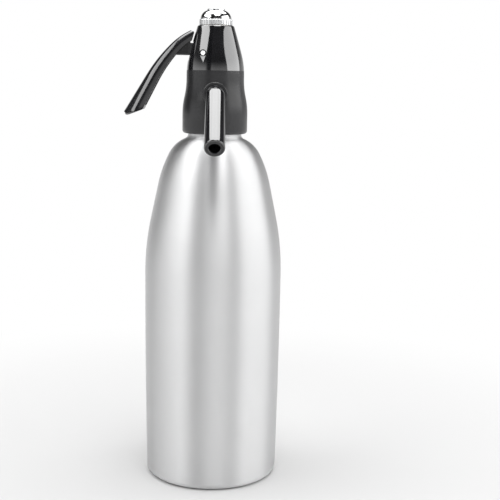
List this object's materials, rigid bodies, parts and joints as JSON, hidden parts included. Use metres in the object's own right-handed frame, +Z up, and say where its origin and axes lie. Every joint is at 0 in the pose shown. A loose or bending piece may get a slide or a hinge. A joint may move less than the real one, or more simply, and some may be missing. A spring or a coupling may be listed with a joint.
{
  "type": "soda siphon",
  "caption": "Aluminium soda siphon with a black screwed-on head, a bent spout, a hinged pouring lever and a fluted chrome cap over its charging inlet.",
  "frame": {"origin": "on the bottle's axis, in the plane that the bottle stands on", "axes": "+Z up along the bottle, -Y towards the spout, -X towards the lever"},
  "size_m": [0.1045, 0.1126, 0.3074],
  "materials": {
    "bottle_aluminium": "brushed, satin",
    "gloss_black": "polished moulding",
    "spout_black": "polished moulding",
    "lever_black": "polished moulding, satin inside",
    "chrome": "polished",
    "die_cast": "as cast",
    "brass": "turned",
    "steel": "drawn and ground",
    "rubber": "moulded",
    "tube_plastic": "extruded"
  },
  "bodies": {
    "bottle": {"bottle": "bottle_aluminium"},
    "neck_gasket": {"head_gasket": "rubber"},
    "head": {"head_casing": "gloss_black", "valve_body": "die_cast", "dip_tube": "tube_plastic", "dip_tube_seal": "rubber", "valve_seat": "brass", "gland_nut": "brass", "stem_seal": "rubber", "pivot_pin": "steel", "spout": "spout_black", "spout_seal": "rubber", "check_valve": "rubber", "inlet_seal": "rubber", "charge_inlet": "brass", "charger_seal": "rubber", "piercing_pin": "steel"},
    "valve": {"valve_stem": "steel", "valve_washer": "rubber", "stem_nut": "brass", "valve_spring": "steel"},
    "lever": {"lever": "lever_black"},
    "cap_gasket": {"cap_seal": "rubber"},
    "cap": {"top_cap": "chrome"}
  },
  "joints": [
    {"name": "head_rise", "type": "slide", "parent": "bottle", "child": "neck_gasket", "axis": [0, 0, 1], "range_m": [0, 0.01]},
    {"name": "head_turn", "type": "hinge", "parent": "neck_gasket", "child": "head", "pos_m": [0, 0, 0.23], "axis": [0, 0, 1], "range_deg": [0, 900]},
    {"name": "lever_press", "type": "hinge", "parent": "head", "child": "lever", "pos_m": [-0.008, 0, 0.2794], "axis": [0, -1, 0], "range_deg": [0, 18], "stiffness_Nm_per_rad": 0.1728, "springref_deg": -64.46},
    {"name": "valve_lift", "type": "slide", "parent": "head", "child": "valve", "axis": [0, 0, 1], "range_m": [0, 0.00252], "deforming": ["valve_spring"]},
    {"name": "cap_rise", "type": "slide", "parent": "head", "child": "cap_gasket", "axis": [0, 0, 1], "range_m": [0, 0.004]},
    {"name": "cap_turn", "type": "hinge", "parent": "cap_gasket", "child": "cap", "pos_m": [0, 0, 0.3], "axis": [0, 0, 1], "range_deg": [0, 720]}
  ],
  "couplings": [
    {"joint": "head_rise", "follows": "head_turn", "m_per_rad": 0.0006366},
    {"joint": "valve_lift", "follows": "lever_press", "m_per_rad": 0.008},
    {"joint": "cap_rise", "follows": "cap_turn", "m_per_rad": 0.0003183}
  ]
}
